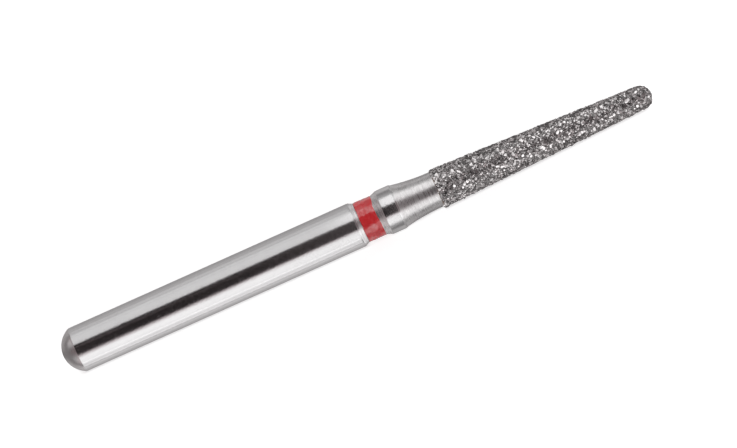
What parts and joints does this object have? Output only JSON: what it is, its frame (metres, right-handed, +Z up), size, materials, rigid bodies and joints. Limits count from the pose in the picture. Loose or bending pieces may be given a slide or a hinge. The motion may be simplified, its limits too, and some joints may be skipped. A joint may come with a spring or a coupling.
{
  "type": "dental bur",
  "caption": "Friction-grip dental bur: straight round-ended steel shank, red grit ring, collar, waisted neck and a long tapered diamond point with a round tip.",
  "frame": {"origin": "on the bur's axis at the front edge of the straight shank, where the mouth of the chuck stands", "axes": "+X along the axis from the shank to the tip, +Z up, +Y to the left of the tip"},
  "size_m": [0.022, 0.0016, 0.0016],
  "materials": {
    "steel": "ground and polished stainless steel, with fine turning marks on the neck",
    "red_lacquer": "glossy baked lacquer",
    "diamond_grit": "rough fine diamond grit held in dull nickel plate"
  },
  "bodies": {
    "root": {"steel_blank": "steel", "colour_ring": "red_lacquer", "diamond_layer": "diamond_grit"}
  },
  "joints": []
}
